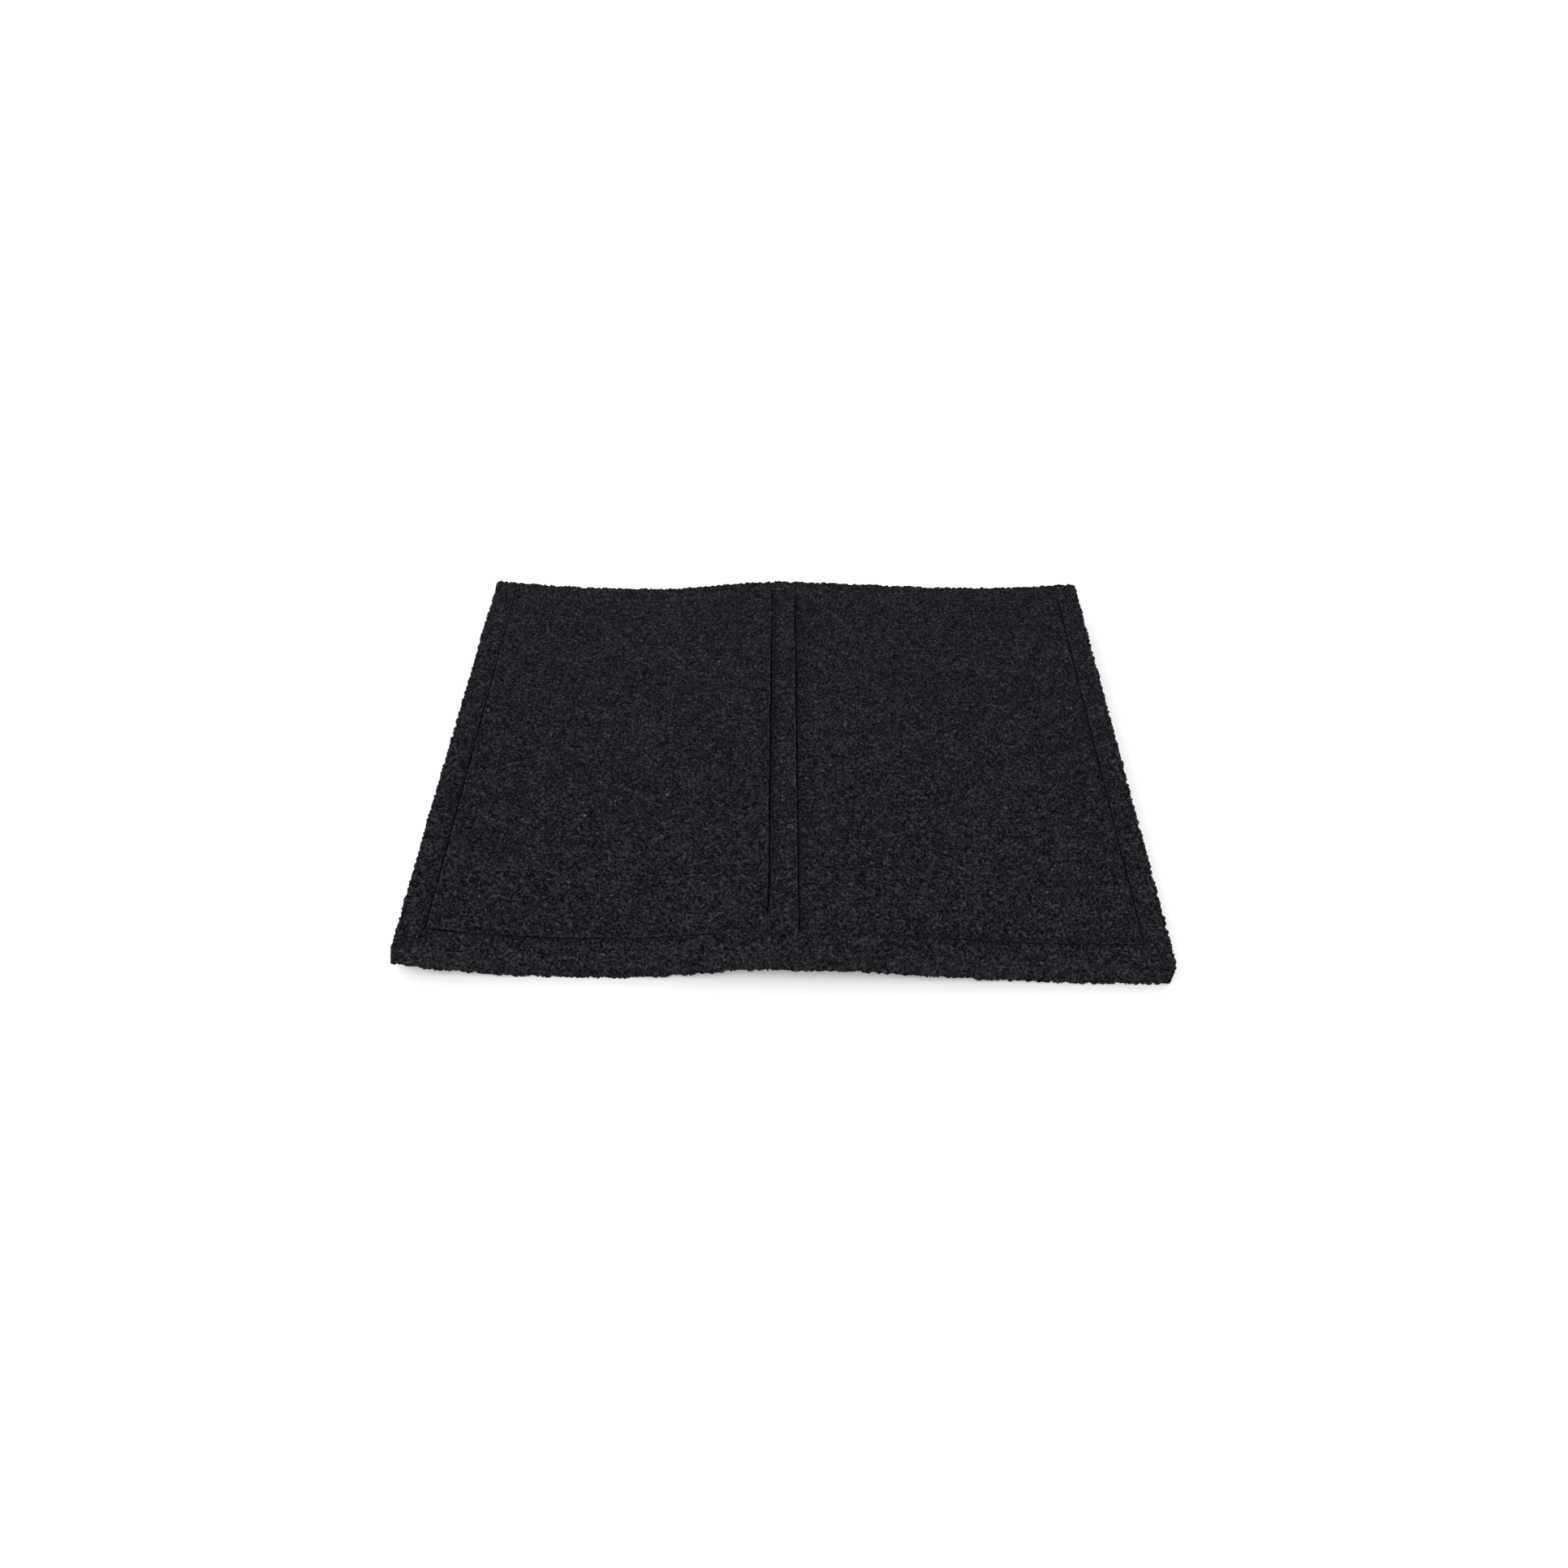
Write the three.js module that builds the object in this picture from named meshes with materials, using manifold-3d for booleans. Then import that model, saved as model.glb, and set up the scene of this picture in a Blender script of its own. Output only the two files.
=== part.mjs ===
// Folding foam mat: a foam frame with two windows, a foam panel dropped into each window, and a
// fold across the bar between the windows. Millimetres, +Z up, the underside rests on z = 0.
// X runs along the width, and Y runs from the front edge to the back edge, along the fold.
import * as THREE from "three";
import { mergeVertices } from "three/addons/utils/BufferGeometryUtils.js";
import Module from "manifold-3d";

// Driving dimensions
const WIDTH = 520;
const DEPTH = 416;
const THICKNESS = 20;
const BORDER = 18; // width of the frame's border on all four sides
const BAR = 20; // width of the bar between the two windows
const FOLD = -3; // x of the fold, which is the middle of the bar
const CUT = 0.4; // slit left by the blade around each panel
const FOLD_SLIT = 0.3; // keeps the two halves of the frame apart at the fold

// How the free mat lies: the fold keeps a low ridge, the left end curls up, and so does the
// back right corner
const RIDGE_HEIGHT = 10.5;
const RIDGE_LEFT_RUN = 117;
const RIDGE_RIGHT_RUN = 208;
const CURL_START = 143; // distance from the fold at which the left end begins to rise
const CURL_FRONT = 12;
const CURL_BACK = 6;
const CORNER_RISE = 13;

// Mesh steps across the width and the depth
const WIDTH_STEPS = 52;
const DEPTH_STEPS = 8;
const CUTTER_MARGIN = 50; // how far a cutting block runs past the mat

const LEFT = -1;
const RIGHT = 1;

const wasm = await Module();
wasm.setup();

const smoothStep = (t) => {
  const c = THREE.MathUtils.clamp(t, 0, 1);
  return c * c * (3 - 2 * c);
};

// Height of the mat's underside above the surface it lies on
function lift(x, y) {
  const away = x - FOLD;
  const back = y / DEPTH + 0.5; // 0 at the front edge, 1 at the back edge
  const run = away < 0 ? RIDGE_LEFT_RUN : RIDGE_RIGHT_RUN;
  const ridge = RIDGE_HEIGHT * smoothStep(1 - Math.abs(away) / run);
  const left = Math.max(0, (-away - CURL_START) / (WIDTH / 2 + FOLD - CURL_START));
  const curl = THREE.MathUtils.lerp(CURL_FRONT, CURL_BACK, back) * left * left;
  // The right half bends up as a springy strip does that is held at one end
  const right = Math.max(0, away / (WIDTH / 2 - FOLD));
  const corner = (CORNER_RISE * back * right * right * (3 - right)) / 2;
  return ridge + curl + corner;
}

function toManifold(geometry) {
  const bare = geometry.clone();
  bare.deleteAttribute("normal");
  bare.deleteAttribute("uv");
  const merged = mergeVertices(bare);
  return new wasm.Manifold(
    new wasm.Mesh({
      numProp: 3,
      vertProperties: merged.attributes.position.array,
      triVerts: new Uint32Array(merged.index.array),
    }),
  );
}

function toGeometry(solid) {
  const mesh = solid.getMesh();
  const positions = new THREE.BufferAttribute(new Float32Array(mesh.vertProperties), mesh.numProp);
  const geometry = new THREE.BufferGeometry().setAttribute("position", positions);
  geometry.setIndex(new THREE.BufferAttribute(new Uint32Array(mesh.triVerts), 1));
  geometry.computeVertexNormals();
  return geometry;
}

// The whole mat as one sheet of even thickness, laid over the ridge and the curl
function wavySheet() {
  const sheet = new THREE.BoxGeometry(WIDTH, DEPTH, THICKNESS, WIDTH_STEPS, DEPTH_STEPS, 1);
  sheet.translate(0, 0, THICKNESS / 2);
  const p = sheet.attributes.position;
  for (let i = 0; i < p.count; i++) {
    p.setZ(i, p.getZ(i) + lift(p.getX(i), p.getY(i)));
  }
  return toManifold(sheet);
}

// An upright cutting block between two values of x and two of y
function block(x0, x1, y0, y1) {
  const height = THICKNESS + 2 * CUTTER_MARGIN;
  const box = new THREE.BoxGeometry(Math.abs(x1 - x0), Math.abs(y1 - y0), height);
  box.translate((x0 + x1) / 2, (y0 + y1) / 2, THICKNESS / 2);
  return toManifold(box);
}

// The window in one half of the frame, made smaller all round by an inset
function windowBlock(side, inset) {
  const inner = FOLD + side * (BAR / 2 + inset);
  const outer = side * (WIDTH / 2 - BORDER - inset);
  const edge = DEPTH / 2 - BORDER - inset;
  return block(inner, outer, -edge, edge);
}

function halfFrame(sheet, side) {
  const outer = side * (WIDTH / 2 + CUTTER_MARGIN);
  const edge = DEPTH / 2 + CUTTER_MARGIN;
  const half = sheet.intersect(block(FOLD + (side * FOLD_SLIT) / 2, outer, -edge, edge));
  return half.subtract(windowBlock(side, 0));
}

function panel(sheet, side) {
  return sheet.intersect(windowBlock(side, CUT));
}

function foam(name, color) {
  return new THREE.MeshStandardMaterial({ name, color, roughness: 0.95, metalness: 0 });
}

function named(name, solid, material) {
  const mesh = new THREE.Mesh(toGeometry(solid), material);
  mesh.name = name;
  return mesh;
}

const sheet = wavySheet();
const mat = new THREE.Group();

const leftHalf = new THREE.Group();
leftHalf.add(named("frame_left", halfFrame(sheet, LEFT), foam("frame_foam_left", 0x26282b)));
leftHalf.add(named("panel_left", panel(sheet, LEFT), foam("panel_foam_left", 0x24272b)));

const rightHalf = new THREE.Group();
rightHalf.add(named("frame_right", halfFrame(sheet, RIGHT), foam("frame_foam_right", 0x26282b)));
rightHalf.add(named("panel_right", panel(sheet, RIGHT), foam("panel_foam_right", 0x24272b)));

mat.add(leftHalf, rightHalf);

export default mat;
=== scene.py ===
import math

import bpy
import numpy as np
from mathutils import Matrix, Vector
from mathutils.geometry import delaunay_2d_cdt


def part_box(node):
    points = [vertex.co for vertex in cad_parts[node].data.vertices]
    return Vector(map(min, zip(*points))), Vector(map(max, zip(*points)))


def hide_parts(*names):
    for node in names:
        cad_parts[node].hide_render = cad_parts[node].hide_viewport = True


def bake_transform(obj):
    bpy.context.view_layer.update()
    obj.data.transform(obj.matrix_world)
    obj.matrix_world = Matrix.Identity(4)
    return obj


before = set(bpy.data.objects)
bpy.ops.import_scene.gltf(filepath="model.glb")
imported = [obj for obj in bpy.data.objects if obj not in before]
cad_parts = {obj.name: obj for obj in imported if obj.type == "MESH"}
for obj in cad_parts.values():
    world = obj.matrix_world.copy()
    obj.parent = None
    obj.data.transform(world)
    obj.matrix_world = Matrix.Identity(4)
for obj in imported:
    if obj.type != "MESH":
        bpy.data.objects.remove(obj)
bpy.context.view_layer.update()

# ---------------------------------------------------------------- sizes, as in the CAD
left_low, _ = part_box("frame_left")
right_low, right_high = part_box("frame_right")
panel_boxes = {side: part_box("panel_" + side) for side in ("left", "right")}

WIDTH = right_high.x - left_low.x
DEPTH = right_high.y - right_low.y
FOLD = (panel_boxes["left"][1].x + panel_boxes["right"][0].x) / 2
THICKNESS = 0.020
CUT = 0.0004
RIDGE_HEIGHT = 0.0105
RIDGE_LEFT_RUN = 0.117
RIDGE_RIGHT_RUN = 0.208
CURL_START = 0.143
CURL_FRONT = 0.012
CURL_BACK = 0.006
CORNER_RISE = 0.013

# ---------------------------------------------------------------- how the foam is made
PORE_PITCH = 0.0022
UNSEEN_PITCH = 0.0044  # the underside and the slits' walls are seen less: their pores are coarser
PORE_JITTER = 0.62  # of the pitch, either way
PORE_DEPTH = (0.0005, 0.0019)
STRUT_UNEVEN = 0.00022
OUTER_ROUGH = 3.2  # the outline's sawn sides are this much rougher than the broad faces

# Cut edges and sides
RIM_STEP = 0.0012  # between points along a cut edge
RIM_BITE = 0.0019  # how deep a single pore that was cut open notches an edge
CORNER_BITE = 0.0004
BITE_POWER = 1.3  # above 1, shallow bites are commoner than deep ones
NOTCH_PITCH = 0.0020  # between the coarser notches that make a cut side ragged
NOTCH_ROWS = 10  # of them up the side
NOTCH_DEPTH = 0.0018  # of the deepest of them in the outline
NOTCH_POWER = 1.8
NOTCH_REACH = 0.005  # how far into the foam a notch pushes what lies round it
NOTCH_LIP = 0.1  # of the thickness, at the top and the underside, also dips at a notch
TOOTH = 0.0009  # how far the foam left between the notches of the outline sticks out
SLIT_NOTCH = 0.5  # of the notch depth in a slit that stands fully open
OUTER_ROUND = 0.0007  # radius of the outline's edges
OPEN_ROUND = 0.0018  # radius of a slit's edges where the slit stands fully open
FULLY_OPEN = 0.0007
DRAW_IN = 0.010  # how far from a slit a panel gives way to open it

# Tone of a point of the foam before it is raised to a power: middle and spread. The spread is the
# foam's own random tone; the pores' lower middle is painted shade at the bottom of each pit.
STRUT_TONE = (1.17, 0.32)
PORE_TONE = (0.92, 0.32)
TONE_LEAST, TONE_MOST = 0.2, 2.3
TONE_POWER = 2.2

# Painted shade and painted light on some of the foam, as a share of the brightness its tone gives
OPEN_SHARE = 0.42  # of the pores are open, and painted shade makes them black inside
OPEN_PORE_SHADE = 0.04
GLINT_SHARE = 0.0004  # of the strut joints get a painted glint: a bright speck painted into their colour
GLINT_TONE = 6.5
SLIT_SHADE = 1.1  # painted light on a slit's walls, a little lighter than the rest of the foam, against the shade in the slit

# The panels don't lie quite flush: how far each corner stands over the frame
PANEL_STEP = {
    "left": {"front": (0.0018, 0.0008), "back": (0.0, 0.0008)},
    "right": {"front": (-0.0007, 0.0002), "back": (-0.0007, 0.0)},
}

# Each slit, by values spread evenly from its left or front end to its other end: how far it
# stands open, and how much painted shade darkens (or, below 0, a painted highlight lightens) the
# foam beside it on the frame and on the panel. The last number of frame and panel is how far from
# the slit that reaches.
SEAMS = {
    ("left", "front"): dict(gap=(0.0002, 0.0002, 0.0002),
                            frame=((0.30, 0.30, 0.14), 0.008), panel=((0.36, 0.20, 0.16), 0.010)),
    ("left", "right"): dict(gap=(0.0006, 0.0005, 0.0004),
                            frame=((0.30, 0.62, 0.55), 0.010), panel=((-0.20, -0.15, -0.12), 0.005)),
    ("left", "back"): dict(gap=(0.0002, 0.0002), frame=((0.0, 0.0), 0.001), panel=((0.0, 0.0), 0.001)),
    ("left", "left"): dict(gap=(0.0003, 0.0004, 0.0002),
                           frame=((0.50, 0.40, 0.16), 0.009), panel=((-0.30, -0.15, 0.0), 0.004)),
    ("right", "front"): dict(gap=(0.0002, 0.0004, 0.0003),
                             frame=((0.10, 0.40, 0.30), 0.006), panel=((0.14, 0.40, 0.34), 0.008)),
    ("right", "right"): dict(gap=(0.0003, 0.0004, 0.0004),
                             frame=((0.45, 0.15, 0.10), 0.004), panel=((0.36, 0.26, 0.25), 0.004)),
    ("right", "back"): dict(gap=(0.0002, 0.0002, 0.0006),
                            frame=((0.0, 0.10, 0.30), 0.003), panel=((0.0, 0.10, 0.30), 0.003)),
    ("right", "left"): dict(gap=(0.0004, 0.0004, 0.0004),
                            frame=((-0.15, -0.20, -0.15), 0.005), panel=((0.50, 0.50, 0.50), 0.009)),
}

# Light shows through one slit near its front end, where the foam has drawn back a little more
PARTING = ("left", "right")
PARTING_MIDDLE = 0.055  # of the slit's length, from the front
PARTING_HALF = 0.050
PARTING_EXTRA = 0.0007

SIDES = ("front", "right", "back", "left")
OUTWARD = {"front": (0, -1), "right": (1, 0), "back": (0, 1), "left": (-1, 0)}


def smooth(t):
    t = np.clip(t, 0.0, 1.0)
    return t * t * (3.0 - 2.0 * t)


def between(ends, share):
    return ends[0] + (ends[1] - ends[0]) * share


def along(values, share):
    """Values spread evenly over a length, read at a share of it."""
    return np.interp(share, np.linspace(0, 1, len(values)), values)


def read_grid(grid, down, over):
    """Reads a grid of values between its rows and columns, at shares of its height and width."""
    rows, columns = grid.shape[0] - 1, grid.shape[1] - 1
    r, c = np.clip(down, 0, 1) * rows, np.clip(over, 0, 1) * columns
    r0, c0 = np.minimum(r.astype(int), rows - 1), np.minimum(c.astype(int), columns - 1)
    dr, dc = r - r0, c - c0
    lower = grid[r0, c0] * (1 - dc) + grid[r0, c0 + 1] * dc
    upper = grid[r0 + 1, c0] * (1 - dc) + grid[r0 + 1, c0 + 1] * dc
    return lower * (1 - dr) + upper * dr


SLOPE_STEP = 0.001  # either side of a point, to measure the slope there


def lift(x, y):
    """Height of the mat's underside over the floor."""
    away, back = x - FOLD, y / DEPTH + 0.5
    run = np.where(away < 0, RIDGE_LEFT_RUN, RIDGE_RIGHT_RUN)
    ridge = RIDGE_HEIGHT * smooth(1.0 - np.abs(away) / run)
    left = np.maximum(0.0, (-away - CURL_START) / (WIDTH / 2 + FOLD - CURL_START))
    curl = between((CURL_FRONT, CURL_BACK), back) * left ** 2
    right = np.maximum(0.0, away / (WIDTH / 2 - FOLD))
    return ridge + curl + CORNER_RISE * back * right ** 2 * (3 - right) / 2


def slope(x, y):
    """How steeply the underside rises to the right."""
    return (lift(x + SLOPE_STEP, y) - lift(x - SLOPE_STEP, y)) / (2 * SLOPE_STEP)


# ---------------------------------------------------------------- cut sides
class Cut:
    """One straight cut side of a slab: of its outline, or of a window through it."""

    def __init__(self, rect, side, window, part, name=None):
        self.rect, self.side, self.part, self.name = rect, side, part, name
        self.into = np.array(OUTWARD[side], float) * (1.0 if window else -1.0)
        self.seam = SEAMS[name, side] if name else None

    def share(self, p):
        """How far along the side each point lies, from its left or front end."""
        x0, y0, x1, y1 = self.rect
        if self.side in ("front", "back"):
            return np.clip((p[:, 0] - x0) / (x1 - x0), 0, 1)
        return np.clip((p[:, 1] - y0) / (y1 - y0), 0, 1)

    def distance(self, p):
        x0, y0, x1, y1 = self.rect
        past_x = np.maximum(np.maximum(x0 - p[:, 0], p[:, 0] - x1), 0)
        past_y = np.maximum(np.maximum(y0 - p[:, 1], p[:, 1] - y1), 0)
        if self.side == "front":
            return np.hypot(p[:, 1] - y0, past_x)
        if self.side == "back":
            return np.hypot(p[:, 1] - y1, past_x)
        return np.hypot(p[:, 0] - (x0 if self.side == "left" else x1), past_y)

    def openness(self, p):
        """1 where the cut's edges stand free, and less where a slit is nearly shut."""
        if self.seam is None:
            return np.ones(len(p))
        return np.clip(along(self.seam["gap"], self.share(p)) / FULLY_OPEN, 0, 1)

    def columns(self):
        """How many notch depths are drawn along the cut."""
        x0, y0, x1, y1 = self.rect
        return int((x1 - x0 if self.side in ("front", "back") else y1 - y0) / NOTCH_PITCH)

    def raggedness(self, p):
        """Share of the notch depth: full in the outline, less in a slit, none at the ends."""
        ends = np.minimum(self.share(p), 1.0 - self.share(p)) * self.columns() / 2
        whole = 1.0 if self.seam is None else SLIT_NOTCH * self.openness(p)
        return whole * np.clip(ends, 0, 1)

    def radius(self, p):
        if self.seam is None:
            return np.full(len(p), OUTER_ROUND)
        return OPEN_ROUND * self.openness(p)

    def shade(self, p):
        """Share of its brightness that the foam keeps beside the cut: painted shade below 1, a painted
        highlight above 1.
        """
        if self.seam is None:
            return np.ones(len(p))
        values, reach = self.seam[self.part]
        near = np.clip(1.0 - self.distance(p) / reach, 0, 1)
        return 1.0 - along(values, self.share(p)) * near ** 2


def panel_cuts(outline, name):
    return [Cut(outline, side, False, "panel", name) for side in SIDES]


def frame_cuts(outline, windows):
    """The outline's four sides, and then the four of each window."""
    cuts = [Cut(outline, side, False, "frame") for side in SIDES]
    for name, window in zip(("left", "right"), windows):
        cuts += [Cut(window, side, True, "frame", name) for side in SIDES]
    return cuts


# ---------------------------------------------------------------- nets of pores
def triangulate(points, edges=()):
    """Triangles (n x 3 indices) over 2D points, keeping the given edges."""
    made = delaunay_2d_cdt([Vector(p) for p in points.tolist()], list(edges), [], 0, 1e-9)
    first = np.array([origin[0] if origin else -1 for origin in made[3]])
    return first[np.array(made[2], int)]


def inside(points, rects):
    """Which points lie in the first rectangle and in none of the others."""
    (x0, y0, x1, y1), holes = rects[0], rects[1:]
    ok = (points[:, 0] > x0) & (points[:, 0] < x1) & (points[:, 1] > y0) & (points[:, 1] < y1)
    for hx0, hy0, hx1, hy1 in holes:
        ok &= ~((points[:, 0] > hx0) & (points[:, 0] < hx1)
                & (points[:, 1] > hy0) & (points[:, 1] < hy1))
    return ok


def trimmed(rects, by):
    """The rectangles with foam taken away all round: the first shrinks and the holes grow."""
    (x0, y0, x1, y1), holes = rects[0], rects[1:]
    return [(x0 + by, y0 + by, x1 - by, y1 - by)] + [
        (a - by, b - by, c + by, d + by) for a, b, c, d in holes
    ]


def pore_centres(rects, pitch, rng):
    """Scattered pore centres: the crossings of a lattice, each moved at random."""
    x0, y0, x1, y1 = rects[0]
    row = pitch * math.sqrt(0.75)
    nx, ny = int((x1 - x0) / pitch) + 2, int((y1 - y0) / row) + 2
    gx, gy = np.meshgrid(np.arange(nx), np.arange(ny))
    p = np.stack([x0 + (gx + 0.5 * (gy % 2)) * pitch, y0 + gy * row], -1).reshape(-1, 2)
    p = p + rng.uniform(-PORE_JITTER, PORE_JITTER, p.shape) * pitch
    return p[inside(p, trimmed(rects, 0.45 * pitch))]


def loop_edges(start, count):
    return [(start + i, start + (i + 1) % count) for i in range(count)]


def run_points(a, b):
    """Points from a towards b, without b, about a rim step apart."""
    n = max(2, int(round(abs(b - a) / RIM_STEP)))
    return a + (b - a) * np.arange(n) / n


def ring_of(rect):
    """Points round a rectangle from its front left corner, and where its corners are in them."""
    x0, y0, x1, y1 = rect
    xs, ys = run_points(x0, x1), run_points(y0, y1)
    ring = np.concatenate([
        np.stack([xs, np.full(len(xs), y0)], -1),
        np.stack([np.full(len(ys), x1), ys], -1),
        np.stack([x0 + x1 - xs, np.full(len(xs), y1)], -1),
        np.stack([np.full(len(ys), x0), y0 + y1 - ys], -1),
    ])
    return ring, np.cumsum([0, len(xs), len(ys), len(xs), len(ys)])


class Slab:
    """A slab of foam with windows, made face by face and then shaped."""

    def __init__(self, outline, windows, cuts, charts, seed):
        self.rects, self.cuts, self.charts = [outline] + windows, cuts, charts
        self.rng = np.random.default_rng(seed)
        self.points, self.tones, self.count = [], [], 0
        self.faces, self.maps = [], []
        self.rings = [ring_of(rect) for rect in self.rects]
        self.rims = {}
        for k in range(len(self.rects)):
            self.add_rims(k)
        self.add_broad_face("top", THICKNESS, -1.0, PORE_PITCH)
        self.add_broad_face("under", 0.0, 1.0, UNSEEN_PITCH)
        for k in range(len(self.rects)):
            self.add_walls(k)
        self.points = np.concatenate(self.points)
        self.tones = np.concatenate(self.tones)

    def add(self, points, tone, shade=1.0):
        """Keeps points with random tones, and returns their indices."""
        first = self.count
        tones = self.rng.normal(*tone, len(points)).clip(TONE_LEAST, TONE_MOST) ** TONE_POWER
        self.points.append(points)
        self.tones.append(tones * shade)
        self.count += len(points)
        return np.arange(first, self.count)

    def add_net(self, rects, rim, rim_ids, rim_edges, place, pitch, flip, chart,
                shade=1.0, rough=1.0):
        """One flat face. rim holds its rim's points in the face's own plane, rim_ids their
        indices, place turns plane points and depths into space, and chart into the bake map.
        shade is the face's painted brightness (painted light on a slit's walls), and rough how uneven
        it is; 1 is usual."""
        rng = self.rng
        centres = pore_centres(rects, pitch, rng)
        start = len(centres)
        edges = [(a + start, b + start) for a, b in rim_edges]
        every = np.concatenate([centres, rim])
        cells = triangulate(every, edges)
        cells = cells[(cells < start).any(axis=1)]
        joints = every[cells].mean(axis=1)
        joints = joints[inside(joints, trimmed(rects, 0.16 * pitch))]
        plane = np.concatenate([centres, joints, rim])
        start += len(joints)
        cells = triangulate(plane, [(a + start, b + start) for a, b in rim_edges])
        cells = cells[inside(plane[cells].mean(axis=1), rects)]
        deep = rng.uniform(*PORE_DEPTH, len(centres)) * math.sqrt(pitch / PORE_PITCH)
        sunk = np.abs(rng.normal(0, rough * STRUT_UNEVEN, len(joints))) - STRUT_UNEVEN
        # Painted glints: a few strut joints are painted bright, as if light caught them
        painted_glint = np.where(rng.random(len(joints)) < GLINT_SHARE, GLINT_TONE, 1.0)
        # Painted shade: open pores are painted black, for the shade inside them
        painted_pore_shade = np.where(rng.random(len(centres)) < OPEN_SHARE, OPEN_PORE_SHADE, 1.0)
        # Pore centres at the bottom of the pits take the darker pore tone, as painted shade
        ids = np.concatenate([
            self.add(place(centres, deep + (rough - 1.0) * STRUT_UNEVEN), PORE_TONE, shade * painted_pore_shade),
            self.add(place(joints, sunk), STRUT_TONE, shade * painted_glint),
            rim_ids,
        ])
        if flip:
            cells = cells[:, ::-1]
        self.faces.append(ids[cells])
        self.maps.append(chart(plane)[cells])

    def add_rims(self, k):
        """The points along both edges of one outline or window, notched where pores were cut."""
        ring, _ = self.rings[k]
        into, opened = np.zeros_like(ring), np.zeros(len(ring))
        for cut in self.cuts[4 * k: 4 * k + 4]:
            on = cut.distance(ring) < 1e-9
            into += on[:, None] * cut.into
            opened = np.maximum(opened, on * cut.openness(ring))
        for level, z, sign in (("top", THICKNESS, -1.0), ("under", 0.0, 1.0)):
            bite, drop = RIM_BITE * opened * self.rng.random((2, len(ring))) ** BITE_POWER
            at = np.column_stack([ring + into * bite[:, None], z + sign * drop])
            self.rims[k, level] = self.add(at, STRUT_TONE)

    def add_broad_face(self, level, z, sign, pitch):
        rim = np.concatenate([ring for ring, _ in self.rings])
        ids = np.concatenate([self.rims[k, level] for k in range(len(self.rects))])
        edges, start = [], 0
        for ring, _ in self.rings:
            edges += loop_edges(start, len(ring))
            start += len(ring)

        def place(p, depth):
            return np.column_stack([p, z + sign * depth])

        flip = level == "under"
        self.add_net(self.rects, rim, ids, edges, place, pitch, flip, self.charts[level])

    def add_uprights(self, k, zs):
        """The points up each corner of one outline or window."""
        ring, corners = self.rings[k]
        uprights = []
        for w in range(4):
            into = self.cuts[4 * k + w].into + self.cuts[4 * k + w - 1].into
            bite = CORNER_BITE * self.rng.random(len(zs))
            at = ring[corners[w]] + into * bite[:, None]
            uprights.append(self.add(np.column_stack([at, zs]), STRUT_TONE))
        return uprights

    def add_walls(self, k):
        """The four cut walls round one outline or window."""
        ring, corners = self.rings[k]
        zs = run_points(0.0, THICKNESS)[1:]
        uprights = self.add_uprights(k, zs)
        for w in range(4):
            cut = self.cuts[4 * k + w]
            line = np.arange(corners[w], corners[w + 1] + 1) % len(ring)
            steps = np.linalg.norm(np.diff(ring[line], axis=0), axis=1)
            run = np.concatenate([[0], np.cumsum(steps)])
            n, m, length = len(line), len(zs), run[-1]
            rim = np.concatenate([
                np.column_stack([run, np.zeros(n)]),
                np.column_stack([np.full(m, length), zs]),
                np.column_stack([run[::-1], np.full(n, THICKNESS)]),
                np.column_stack([np.zeros(m), zs[::-1]]),
            ])
            ids = np.concatenate([
                self.rims[k, "under"][line], uprights[(w + 1) % 4],
                self.rims[k, "top"][line][::-1], uprights[w][::-1],
            ])
            begin, forward = ring[line[0]], (ring[line[-1]] - ring[line[0]]) / length

            def place(p, depth, begin=begin, forward=forward, into=cut.into):
                return np.column_stack([
                    begin + forward * p[:, :1] + into * np.reshape(depth, (-1, 1)), p[:, 1]
                ])

            rects, edges = [(0.0, 0.0, length, THICKNESS)], loop_edges(0, len(ids))
            in_slit = cut.seam is not None
            # Painted light: a slit's walls are made a little lighter in colour than the rest of the
            # foam
            self.add_net(rects, rim, ids, edges, place, UNSEEN_PITCH if in_slit else PORE_PITCH,
                         k > 0, self.charts[k, w], SLIT_SHADE if in_slit else 1.0,
                         1.0 if in_slit else OUTER_ROUGH)

    def round_edges(self):
        """Turns every square edge into a round one."""
        flat, z = self.points[:, :2], self.points[:, 2]
        distances = np.stack([cut.distance(flat) for cut in self.cuts])
        nearest = distances.argmin(axis=0)
        radius = np.stack([cut.radius(flat) for cut in self.cuts])[nearest, np.arange(len(flat))]
        into = np.stack([cut.into for cut in self.cuts])[nearest]
        upper = z > THICKNESS / 2
        across = np.maximum(radius - distances.min(axis=0), 0)
        down = np.maximum(radius - np.where(upper, THICKNESS - z, z), 0)
        both = (across > 0) & (down > 0)
        keep = np.where(both, np.maximum(across, down) / np.hypot(across, down).clip(1e-9), 1.0)
        self.points[:, :2] += into * (across * (1 - keep))[:, None]
        self.points[:, 2] += np.where(upper, -1.0, 1.0) * down * (1 - keep)

    def notch(self):
        """Makes the cut sides ragged: moves them in or out by depths that vary along and up them,
        and the lips of the top and the underside down or up with them."""
        flat, z = self.points[:, :2].copy(), self.points[:, 2].copy()
        outward = np.where(z > THICKNESS / 2, 1.0, -1.0)
        lip = np.abs(2 * z / THICKNESS - 1) > 1 - 2 * NOTCH_LIP
        for cut in self.cuts:
            depths = self.rng.random((NOTCH_ROWS, cut.columns())) ** NOTCH_POWER * NOTCH_DEPTH
            if cut.seam is None:
                depths -= TOOTH
            near = np.clip(1.0 - cut.distance(flat) / NOTCH_REACH, 0, 1)
            depth = read_grid(depths, z / THICKNESS, cut.share(flat)) * near * cut.raggedness(flat)
            self.points[:, :2] += cut.into * depth[:, None]
            self.points[:, 2] -= outward * lip * depth * near ** 4

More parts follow.
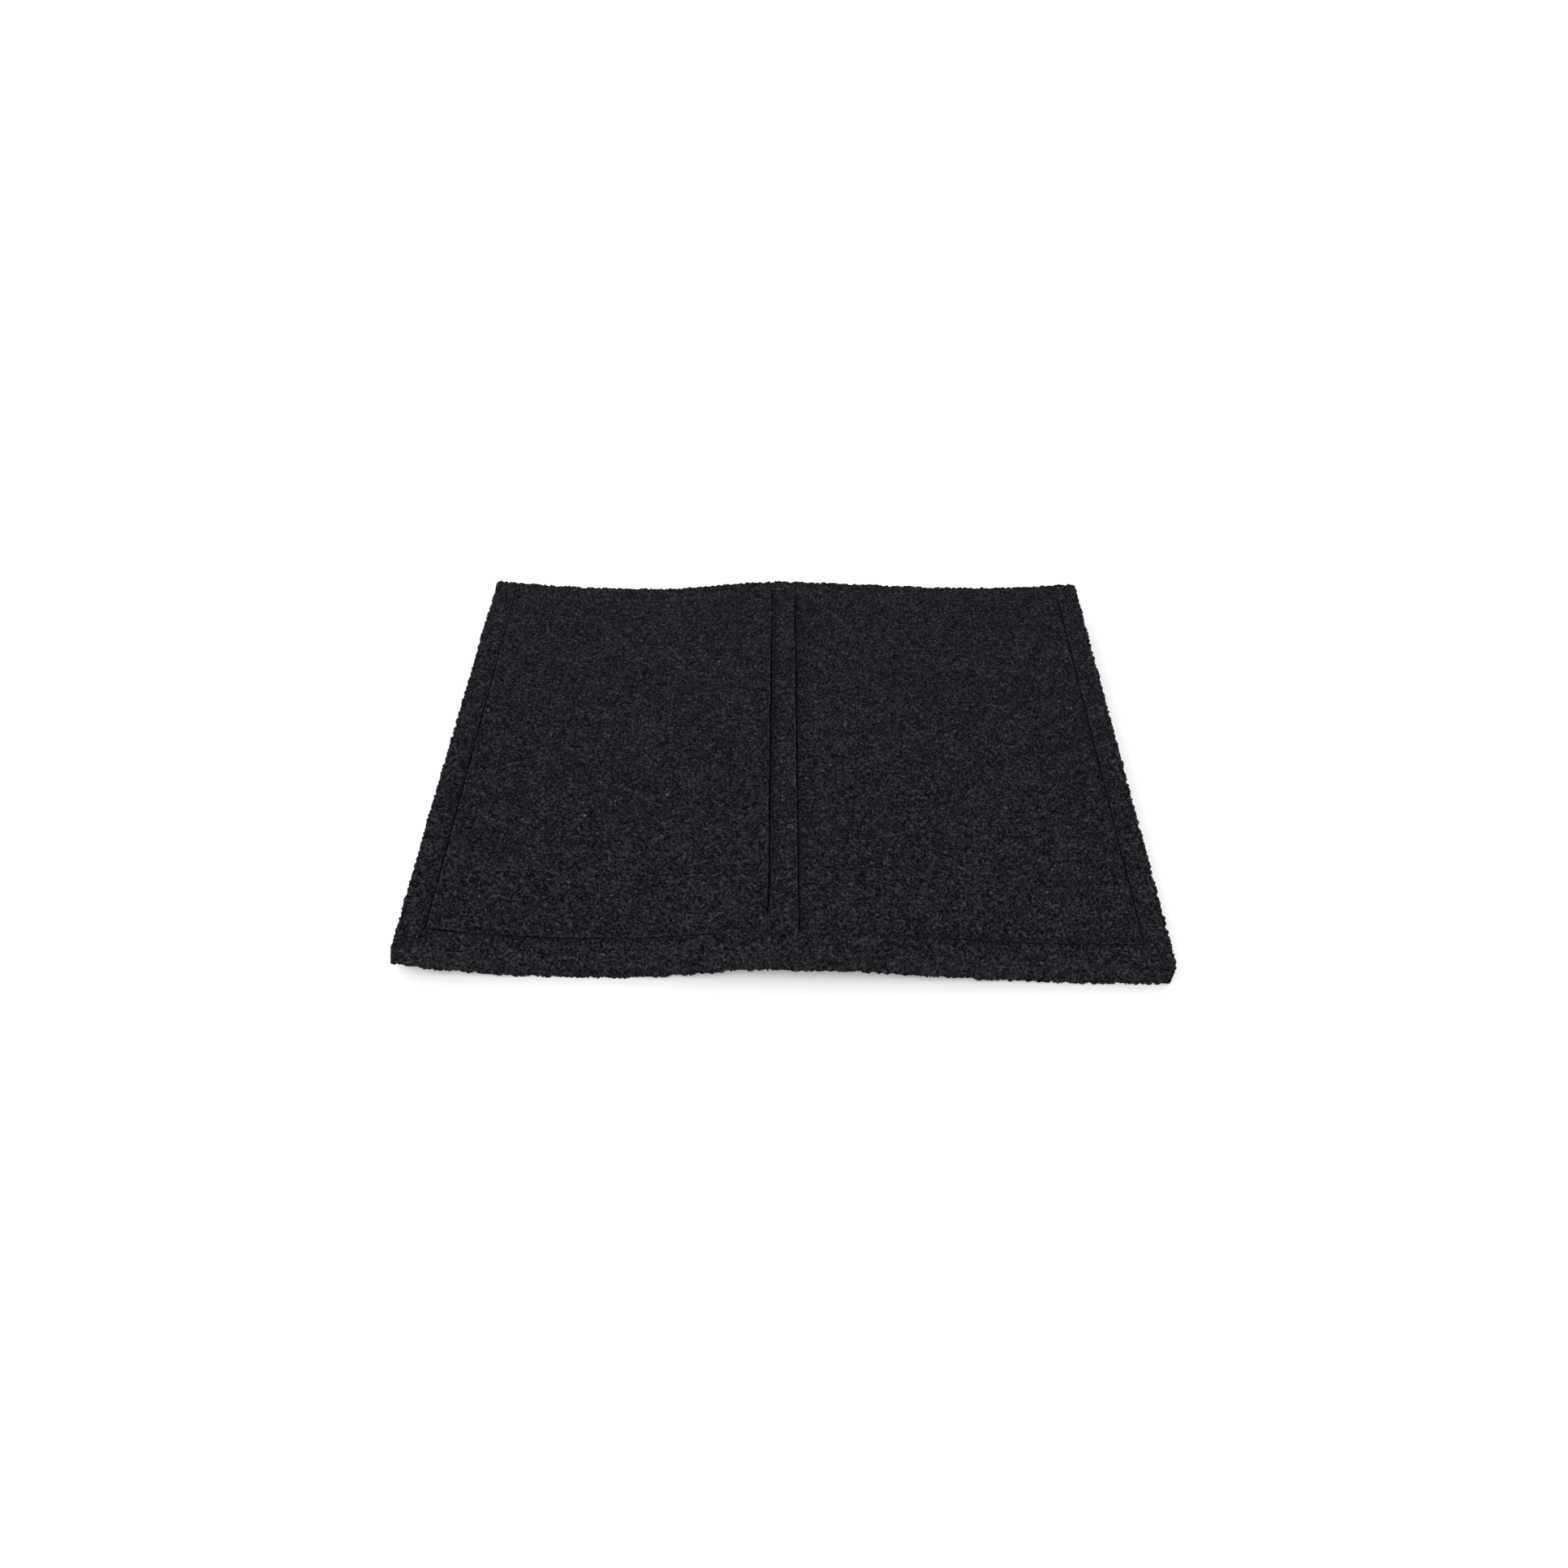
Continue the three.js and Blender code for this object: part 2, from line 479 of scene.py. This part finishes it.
    def paint_slit_shade_and_highlight(self):
        """Paints shade, and beside some slits a highlight, into the foam of the top beside each slit.
        """
        flat = self.points[:, :2]
        near_top = smooth(2.0 * self.points[:, 2] / THICKNESS - 1.0)
        for cut in self.cuts:
            self.tones *= 1.0 + near_top * (cut.shade(flat) - 1.0)

    def draw_in(self):
        """Moves a panel's sides in, to open the slits round it."""
        flat = self.points[:, :2].copy()
        for cut in self.cuts:
            share = cut.share(flat)
            extra = along(cut.seam["gap"], share) - CUT
            if (cut.name, cut.side) == PARTING:
                extra = extra + PARTING_EXTRA * smooth(
                    1.0 - np.abs(share - PARTING_MIDDLE) / PARTING_HALF)
            fall = smooth(1.0 - cut.distance(flat) / DRAW_IN)
            self.points[:, :2] += cut.into * (extra * fall)[:, None]

    def step(self, corners):
        """Raises each corner of a panel by its own step."""
        x0, y0, x1, y1 = self.rects[0]
        right = np.clip((self.points[:, 0] - x0) / (x1 - x0), 0, 1)
        back = np.clip((self.points[:, 1] - y0) / (y1 - y0), 0, 1)
        self.points[:, 2] += between((between(corners["front"], right),
                                      between(corners["back"], right)), back)

    def lay(self):
        """Lays the slab over the ridge and the curled corners, square to them as a bent sheet is,
        and keeps it off the floor."""
        self.points[:, 2] = np.maximum(self.points[:, 2], 0.0)
        x, y = self.points[:, 0].copy(), self.points[:, 1]
        below = THICKNESS - self.points[:, 2]
        self.points[:, 0] += slope(x, y) * below
        self.points[:, 2] += lift(x, y)
        self.points[:, 2] = np.maximum(self.points[:, 2], 0.0)

    def finish(self, name):
        faces, maps = np.concatenate(self.faces), np.concatenate(self.maps)
        points = self.points.astype(np.float32)
        mesh = bpy.data.meshes.new(name)
        mesh.vertices.add(len(points))
        mesh.vertices.foreach_set("co", points.ravel())
        mesh.loops.add(faces.size)
        mesh.loops.foreach_set("vertex_index", faces.astype(np.int32).ravel())
        mesh.polygons.add(len(faces))
        mesh.polygons.foreach_set("loop_start", (np.arange(len(faces)) * 3).astype(np.int32))
        mesh.update(calc_edges=True)
        mesh.shade_smooth()
        uv = mesh.uv_layers.new(name="OFBake")
        uv.data.foreach_set("uv", maps.reshape(-1).astype(np.float32))
        # tone holds the foam's random tone together with painted shade in pits, open pores and beside
        # slits, painted light on slit walls and edges, and painted glints
        tone = mesh.attributes.new("tone", "FLOAT", "POINT")
        tone.data.foreach_set("value", (self.tones ** (1 / TONE_POWER)).astype(np.float32))
        rest = mesh.attributes.new("rest", "FLOAT_VECTOR", "POINT")
        rest.data.foreach_set("vector", points.ravel())
        obj = bpy.data.objects.new(name, mesh)
        bpy.context.scene.collection.objects.link(obj)
        return obj


# ---------------------------------------------------------------- bake maps
MAP_GAP = 0.003
UNSEEN_SHARE = 0.5  # the frame's underside and slit walls get half the detail


class Chart:
    """Lays one face of foam, flat and unstretched, into its own part of the bake map."""

    def __init__(self, origin, at, span, share=1.0, turned=False):
        self.origin, self.at, self.span = np.array(origin), np.array(at), span
        self.share, self.turned = share, turned

    def __call__(self, p):
        local = (p - self.origin) * self.share
        if self.turned:
            local = np.stack([-local[:, 1], local[:, 0]], -1)
        return (local + self.at) / self.span


def panel_charts(outline):
    x0, y0, x1, y1 = outline
    width, depth, row = x1 - x0, y1 - y0, THICKNESS + MAP_GAP
    low = depth + 2 * MAP_GAP
    span = max(2 * width + 3 * MAP_GAP, low + 3 * row + MAP_GAP)
    second = width + 2 * MAP_GAP
    return {
        "top": Chart((x0, y0), (MAP_GAP, MAP_GAP), span),
        "under": Chart((x0, y0), (second, MAP_GAP), span),
        (0, 1): Chart((0, 0), (MAP_GAP, low), span),
        (0, 3): Chart((0, 0), (MAP_GAP, low + row), span),
        (0, 0): Chart((0, 0), (MAP_GAP, low + 2 * row), span),
        (0, 2): Chart((0, 0), (second, low + 2 * row), span),
    }


def frame_charts(outline, windows):
    """The frame's window areas are free in the map, so its small faces go there."""
    x0, y0, x1, y1 = outline
    width, depth, row = x1 - x0, y1 - y0, THICKNESS + MAP_GAP
    low = depth + 2 * MAP_GAP
    span = max(width + 2 * MAP_GAP, low + 4 * row)
    charts = {"top": Chart((x0, y0), (MAP_GAP, MAP_GAP), span)}
    for w in range(4):
        charts[0, w] = Chart((0, 0), (MAP_GAP, low + w * row), span)
    small_row = THICKNESS * UNSEEN_SHARE + MAP_GAP
    (left, front, right, back), second = windows
    turned_width = depth * UNSEEN_SHARE
    turned_height = width * UNSEEN_SHARE
    middle = ((left + right) / 2 - x0 + MAP_GAP, (front + back) / 2 - y0 + MAP_GAP)
    corner = (middle[0] + turned_width / 2, middle[1] - turned_height / 2)
    charts["under"] = Chart((x0, y0), corner, span, UNSEEN_SHARE, True)
    for n in range(8):
        at = (second[0] - x0 + 3 * MAP_GAP, second[1] - y0 + 3 * MAP_GAP + n * small_row)
        charts[1 + n // 4, n % 4] = Chart((0, 0), at, span, UNSEEN_SHARE)
    return charts


# ---------------------------------------------------------------- materials
GRAIN_SCALE = 850.0  # finer than the pores, about a millimetre apart
GRAIN_RANGE = (0.25, 0.75)
GRAIN_TONE = (0.6, 1.4)
DRIFT_SCALE = 120.0
DRIFT_RANGE = (0.3, 0.7)
TONE_RANGE = (0.3, 2.5)
ROUGHNESS = (0.95, 0.6)  # of the darkest and the brightest foam
SPECULAR = 0.05
BUMP_STRENGTH = 0.35
BUMP_DEPTH = 0.0004


def blank_material(name):
    material = bpy.data.materials.new(name)
    material.use_nodes = True
    tree = material.node_tree
    tree.nodes.clear()
    out = tree.nodes.new("ShaderNodeOutputMaterial")
    shader = tree.nodes.new("ShaderNodeBsdfPrincipled")
    tree.links.new(shader.outputs["BSDF"], out.inputs["Surface"])
    return material, tree, shader


def attribute(tree, name, output):
    made = tree.nodes.new("ShaderNodeAttribute")
    made.attribute_name = name
    return made.outputs[output]


def noise(tree, place, scale, detail):
    made = tree.nodes.new("ShaderNodeTexNoise")
    made.inputs["Scale"].default_value = scale
    made.inputs["Detail"].default_value = detail
    tree.links.new(place, made.inputs["Vector"])
    return made.outputs["Fac"]


def spread(tree, value, from_low, from_high, to_low, to_high):
    """Turns one range of values smoothly into another."""
    made = tree.nodes.new("ShaderNodeMapRange")
    made.interpolation_type = "SMOOTHSTEP"
    numbers = {"From Min": from_low, "From Max": from_high, "To Min": to_low, "To Max": to_high}
    for key, number in numbers.items():
        made.inputs[key].default_value = number
    tree.links.new(value, made.inputs["Value"])
    return made.outputs["Result"]


def times(tree, a, b):
    made = tree.nodes.new("ShaderNodeMath")
    made.operation = "MULTIPLY"
    tree.links.new(a, made.inputs[0])
    tree.links.new(b, made.inputs[1])
    return made.outputs[0]


def tinted(tree, share, first, last):
    """A colour between two, by a share."""
    made = tree.nodes.new("ShaderNodeMix")
    made.data_type = "RGBA"
    made.inputs[6].default_value = first
    made.inputs[7].default_value = last
    tree.links.new(share, made.inputs[0])
    return made.outputs[2]


def raised(tree, value, power):
    made = tree.nodes.new("ShaderNodeMath")
    made.operation = "POWER"
    tree.links.new(value, made.inputs[0])
    made.inputs[1].default_value = power
    return made.outputs[0]


def scaled(tree, colour, share):
    made = tree.nodes.new("ShaderNodeVectorMath")
    made.operation = "SCALE"
    tree.links.new(colour, made.inputs[0])
    tree.links.new(share, made.inputs["Scale"])
    return made.outputs["Vector"]


def foam_material(name, cool, warm):
    """Open-cell foam: every strut and pore has a tone of its own, which also holds painted shade,
    painted light and painted glints, on a charcoal that drifts a little between a cool and a warm
    cast, with a finer grain over it."""
    material, tree, shader = blank_material(name)
    rest = attribute(tree, "rest", "Vector")
    tone = raised(tree, attribute(tree, "tone", "Fac"), TONE_POWER)
    grain = noise(tree, rest, GRAIN_SCALE, 1.0)
    drift = noise(tree, rest, DRIFT_SCALE, 2.0)
    tone = times(tree, tone, spread(tree, grain, *GRAIN_RANGE, *GRAIN_TONE))
    colour = tinted(tree, spread(tree, drift, *DRIFT_RANGE, 0.0, 1.0), cool, warm)
    tree.links.new(scaled(tree, colour, tone), shader.inputs["Base Color"])
    tree.links.new(spread(tree, tone, *TONE_RANGE, *ROUGHNESS), shader.inputs["Roughness"])
    shader.inputs["Specular IOR Level"].default_value = SPECULAR

    bump = tree.nodes.new("ShaderNodeBump")
    bump.inputs["Strength"].default_value = BUMP_STRENGTH
    bump.inputs["Distance"].default_value = BUMP_DEPTH
    tree.links.new(grain, bump.inputs["Height"])
    tree.links.new(bump.outputs["Normal"], shader.inputs["Normal"])
    return material


frame_foam = foam_material("frame_foam", (0.0104, 0.0112, 0.0143, 1), (0.0112, 0.0115, 0.0131, 1))
panel_foam = foam_material("panel_foam", (0.0096, 0.0105, 0.0134, 1), (0.0104, 0.0108, 0.0124, 1))

# ---------------------------------------------------------------- the three pieces of foam
outline = (-WIDTH / 2, -DEPTH / 2, WIDTH / 2, DEPTH / 2)
panel_shapes = {side: (low.x, low.y, high.x, high.y) for side, (low, high) in panel_boxes.items()}
windows = [(x0 - CUT, y0 - CUT, x1 + CUT, y1 + CUT) for x0, y0, x1, y1 in panel_shapes.values()]

FRAME_SEED = 11
PANEL_SEEDS = {"left": 23, "right": 24}

slab = Slab(outline, windows, frame_cuts(outline, windows), frame_charts(outline, windows), FRAME_SEED)
slab.round_edges()
slab.notch()
slab.paint_slit_shade_and_highlight()
slab.lay()
foam_frame = slab.finish("foam_frame")
foam_frame.data.materials.append(frame_foam)
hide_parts("frame_left", "frame_right")

panels = []
for side, shape in panel_shapes.items():
    slab = Slab(shape, [], panel_cuts(shape, side), panel_charts(shape), PANEL_SEEDS[side])
    slab.round_edges()
    slab.notch()
    slab.paint_slit_shade_and_highlight()
    slab.draw_in()
    slab.step(PANEL_STEP[side])
    slab.lay()
    panel = slab.finish("foam_panel_" + side)
    panel.data.materials.append(panel_foam)
    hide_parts("panel_" + side)
    panels.append(panel)

for piece in [foam_frame] + panels:
    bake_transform(piece)

# ---------------------------------------------------------------- floor, light and camera
FLOOR_SIZE = 20
WORLD_STRENGTH = 1.2

floor_material, _, shader = blank_material("studio_floor")
shader.inputs["Base Color"].default_value = (0.93, 0.93, 0.93, 1)
shader.inputs["Roughness"].default_value = 0.8
bpy.ops.mesh.primitive_plane_add(size=FLOOR_SIZE)
floor = bpy.context.object
floor.name = "floor"
floor.data.materials.append(floor_material)

world = bpy.data.worlds.new("studio")
bpy.context.scene.world = world
world.use_nodes = True
world.node_tree.nodes["Background"].inputs["Color"].default_value = (1, 1, 1, 1)
world.node_tree.nodes["Background"].inputs["Strength"].default_value = WORLD_STRENGTH


def soft_light(name, place, size, power):
    lamp = bpy.data.lights.new(name, "AREA")
    lamp.size = size
    lamp.energy = power
    obj = bpy.data.objects.new(name, lamp)
    obj.location = place
    obj.rotation_euler = (-Vector(place)).to_track_quat("-Z", "Y").to_euler()
    bpy.context.scene.collection.objects.link(obj)


soft_light("key", (-0.6, -1.3, 1.4), 1.2, 13)

CAMERA_PITCH = math.radians(44.81)
CAMERA_YAW = math.radians(1.35)
CAMERA_ROLL = math.radians(1.79)
CAMERA_DISTANCE = 1.8381 * WIDTH
CAMERA_TARGET = Vector((-0.0038 * WIDTH, 0.3615 * WIDTH - DEPTH / 2, 0))
LENS = 27.95

camera_data = bpy.data.cameras.new("camera")
camera_data.lens = LENS
camera = bpy.data.objects.new("camera", camera_data)
flat = math.cos(CAMERA_PITCH)
forward = Vector((math.sin(CAMERA_YAW) * flat, math.cos(CAMERA_YAW) * flat, -math.sin(CAMERA_PITCH)))
turn = Matrix.Rotation(CAMERA_ROLL, 3, -forward)
across = turn @ Vector((math.cos(CAMERA_YAW), -math.sin(CAMERA_YAW), 0))
axes = Matrix((across, across.cross(forward), -forward)).transposed()
camera.location = CAMERA_TARGET - CAMERA_DISTANCE * forward
camera.rotation_euler = axes.to_euler()
bpy.context.scene.collection.objects.link(camera)
bpy.context.scene.camera = camera
bpy.context.scene.view_settings.view_transform = "Standard"
